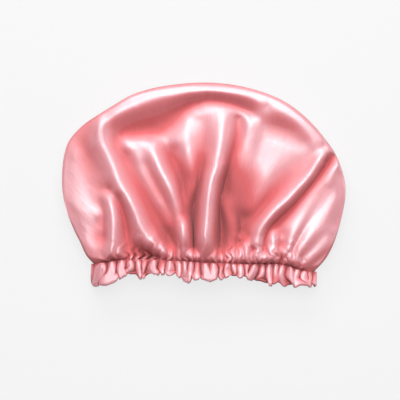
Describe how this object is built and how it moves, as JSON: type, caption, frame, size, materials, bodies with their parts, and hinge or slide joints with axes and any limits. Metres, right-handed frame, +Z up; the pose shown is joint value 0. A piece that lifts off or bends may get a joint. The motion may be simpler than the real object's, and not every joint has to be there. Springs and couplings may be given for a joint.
{
  "type": "satin hair bonnet",
  "caption": "Gathered satin hair bonnet lying flat, its round crown sewn to a fluted casing band with an elastic loop inside.",
  "frame": {"origin": "on the table under the middle of the bonnet as it lies flat, the bottom centre of its bounding box", "axes": "+X across the mouth towards the picture's right, +Y from the mouth to the top of the crown, +Z up off the table"},
  "size_m": [0.3006, 0.2188, 0.0465],
  "materials": {
    "satin": "shiny satin weave",
    "elastic": "ribbed elastic webbing",
    "thread": "spun polyester thread"
  },
  "bodies": {
    "root": {"crown_panel": "satin", "casing_band": "satin", "elastic_loop": "elastic", "elastic_overlap_tack": "thread", "seam_needle_thread": "thread", "seam_bobbin_thread": "thread", "edge_needle_thread": "thread", "edge_bobbin_thread": "thread"}
  },
  "joints": []
}
